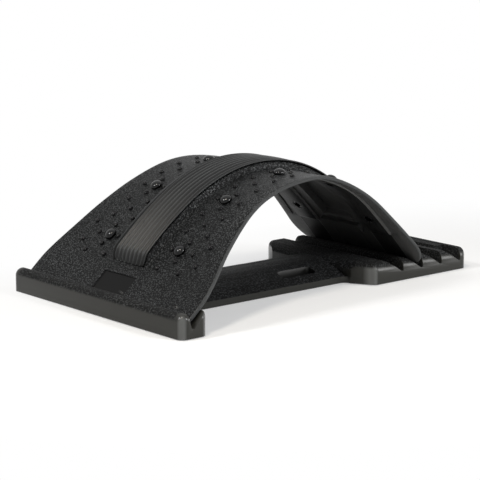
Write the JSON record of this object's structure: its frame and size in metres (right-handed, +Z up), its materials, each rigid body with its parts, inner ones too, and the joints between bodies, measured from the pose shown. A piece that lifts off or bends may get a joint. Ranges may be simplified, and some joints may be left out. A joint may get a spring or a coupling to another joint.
{
  "type": "arched back stretcher",
  "caption": "Flexible arch panel with a ribbed foam strip and domed studs, propped on a grooved and notched plastic base for stretching the back.",
  "frame": {"origin": "on the floor, under the middle of the base", "axes": "+X from the grooved front bar to the notched rear plate, +Y across, +Z up"},
  "size_m": [0.39, 0.248, 0.1219],
  "materials": {
    "base_plastic": "satin charcoal with textured tops",
    "panel_plastic": "fine grained charcoal",
    "strip_foam": "soft matte foam",
    "stud_plastic": "gloss black",
    "magnet_metal": "nickel plated",
    "foot_rubber": "matt black"
  },
  "bodies": {
    "base": {"base_frame": "base_plastic", "foot_front_left": "foot_rubber", "foot_front_right": "foot_rubber", "foot_rear_left": "foot_rubber", "foot_rear_right": "foot_rubber"},
    "panel": {"arch_panel": "panel_plastic", "comfort_strip": "strip_foam", "stud_left_1": "stud_plastic", "stud_left_2": "stud_plastic", "stud_left_3": "stud_plastic", "stud_left_4": "stud_plastic", "stud_left_5": "stud_plastic", "stud_right_1": "stud_plastic", "stud_right_2": "stud_plastic", "stud_right_3": "stud_plastic", "stud_right_4": "stud_plastic", "stud_right_5": "stud_plastic", "magnet_left_1": "magnet_metal", "magnet_left_2": "magnet_metal", "magnet_left_3": "magnet_metal", "magnet_left_4": "magnet_metal", "magnet_left_5": "magnet_metal", "magnet_right_1": "magnet_metal", "magnet_right_2": "magnet_metal", "magnet_right_3": "magnet_metal", "magnet_right_4": "magnet_metal", "magnet_right_5": "magnet_metal"}
  },
  "joints": [
    {"name": "panel_lift", "type": "hinge", "parent": "base", "child": "panel", "pos_m": [-0.18475, 0, 0.01368], "axis": [0, -1, 0], "range_deg": [0, 55]}
  ]
}
